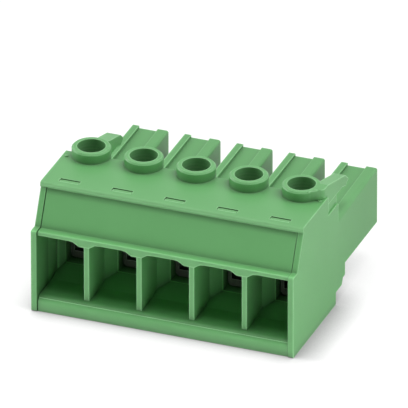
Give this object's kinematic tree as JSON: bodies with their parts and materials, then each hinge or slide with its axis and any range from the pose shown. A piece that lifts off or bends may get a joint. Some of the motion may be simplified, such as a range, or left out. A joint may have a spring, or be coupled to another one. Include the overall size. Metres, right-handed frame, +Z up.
{
  "type": "pluggable terminal block",
  "caption": "Cable-side plug of a pluggable terminal block: wire funnels in front, screw clamps opened from above, and socket fingers at the back.",
  "frame": {"origin": "on the base plane, under the middle of the plug's overall width and depth", "axes": "+X to the right when facing the wire entries, +Y from the wire entries to the header side, +Z up along the screws"},
  "size_m": [0.038, 0.0324, 0.0196],
  "materials": {
    "housing_polyamide": "satin moulded polyamide",
    "frame_polyamide": "satin moulded polyamide",
    "plated_steel": "zinc-plated, stamped and folded",
    "zinc_screw": "zinc-plated",
    "tinned_copper": "tin-plated copper alloy",
    "spring_steel": "bright spring steel"
  },
  "bodies": {
    "plug": {"housing": "housing_polyamide", "wire_entry_frame": "frame_polyamide", "socket_contact_1": "tinned_copper", "contact_spring_1": "spring_steel", "socket_contact_2": "tinned_copper", "contact_spring_2": "spring_steel", "socket_contact_3": "tinned_copper", "contact_spring_3": "spring_steel", "socket_contact_4": "tinned_copper", "contact_spring_4": "spring_steel", "socket_contact_5": "tinned_copper", "contact_spring_5": "spring_steel"},
    "screw_1": {"clamp_screw_1": "zinc_screw"},
    "sleeve_1": {"tension_sleeve_1": "plated_steel"},
    "screw_2": {"clamp_screw_2": "zinc_screw"},
    "sleeve_2": {"tension_sleeve_2": "plated_steel"},
    "screw_3": {"clamp_screw_3": "zinc_screw"},
    "sleeve_3": {"tension_sleeve_3": "plated_steel"},
    "screw_4": {"clamp_screw_4": "zinc_screw"},
    "sleeve_4": {"tension_sleeve_4": "plated_steel"},
    "screw_5": {"clamp_screw_5": "zinc_screw"},
    "sleeve_5": {"tension_sleeve_5": "plated_steel"}
  },
  "joints": [
    {"name": "screw_turn_1", "type": "hinge", "parent": "plug", "child": "screw_1", "pos_m": [-0.01524, -0.00314, 0.014], "axis": [0, 0, -1], "range_deg": [0, 1800]},
    {"name": "clamp_lift_1", "type": "slide", "parent": "plug", "child": "sleeve_1", "axis": [0, 0, 1], "range_m": [0, 0.0025]},
    {"name": "screw_turn_2", "type": "hinge", "parent": "plug", "child": "screw_2", "pos_m": [-0.00762, -0.00314, 0.014], "axis": [0, 0, -1], "range_deg": [0, 1800]},
    {"name": "clamp_lift_2", "type": "slide", "parent": "plug", "child": "sleeve_2", "axis": [0, 0, 1], "range_m": [0, 0.0025]},
    {"name": "screw_turn_3", "type": "hinge", "parent": "plug", "child": "screw_3", "pos_m": [0, -0.00314, 0.014], "axis": [0, 0, -1], "range_deg": [0, 1800]},
    {"name": "clamp_lift_3", "type": "slide", "parent": "plug", "child": "sleeve_3", "axis": [0, 0, 1], "range_m": [0, 0.0025]},
    {"name": "screw_turn_4", "type": "hinge", "parent": "plug", "child": "screw_4", "pos_m": [0.00762, -0.00314, 0.014], "axis": [0, 0, -1], "range_deg": [0, 1800]},
    {"name": "clamp_lift_4", "type": "slide", "parent": "plug", "child": "sleeve_4", "axis": [0, 0, 1], "range_m": [0, 0.0025]},
    {"name": "screw_turn_5", "type": "hinge", "parent": "plug", "child": "screw_5", "pos_m": [0.01524, -0.00314, 0.014], "axis": [0, 0, -1], "range_deg": [0, 1800]},
    {"name": "clamp_lift_5", "type": "slide", "parent": "plug", "child": "sleeve_5", "axis": [0, 0, 1], "range_m": [0, 0.0025]}
  ],
  "couplings": [
    {"joint": "screw_turn_1", "follows": "clamp_lift_1", "rad_per_m": 12566},
    {"joint": "screw_turn_2", "follows": "clamp_lift_2", "rad_per_m": 12566},
    {"joint": "screw_turn_3", "follows": "clamp_lift_3", "rad_per_m": 12566},
    {"joint": "screw_turn_4", "follows": "clamp_lift_4", "rad_per_m": 12566},
    {"joint": "screw_turn_5", "follows": "clamp_lift_5", "rad_per_m": 12566}
  ]
}
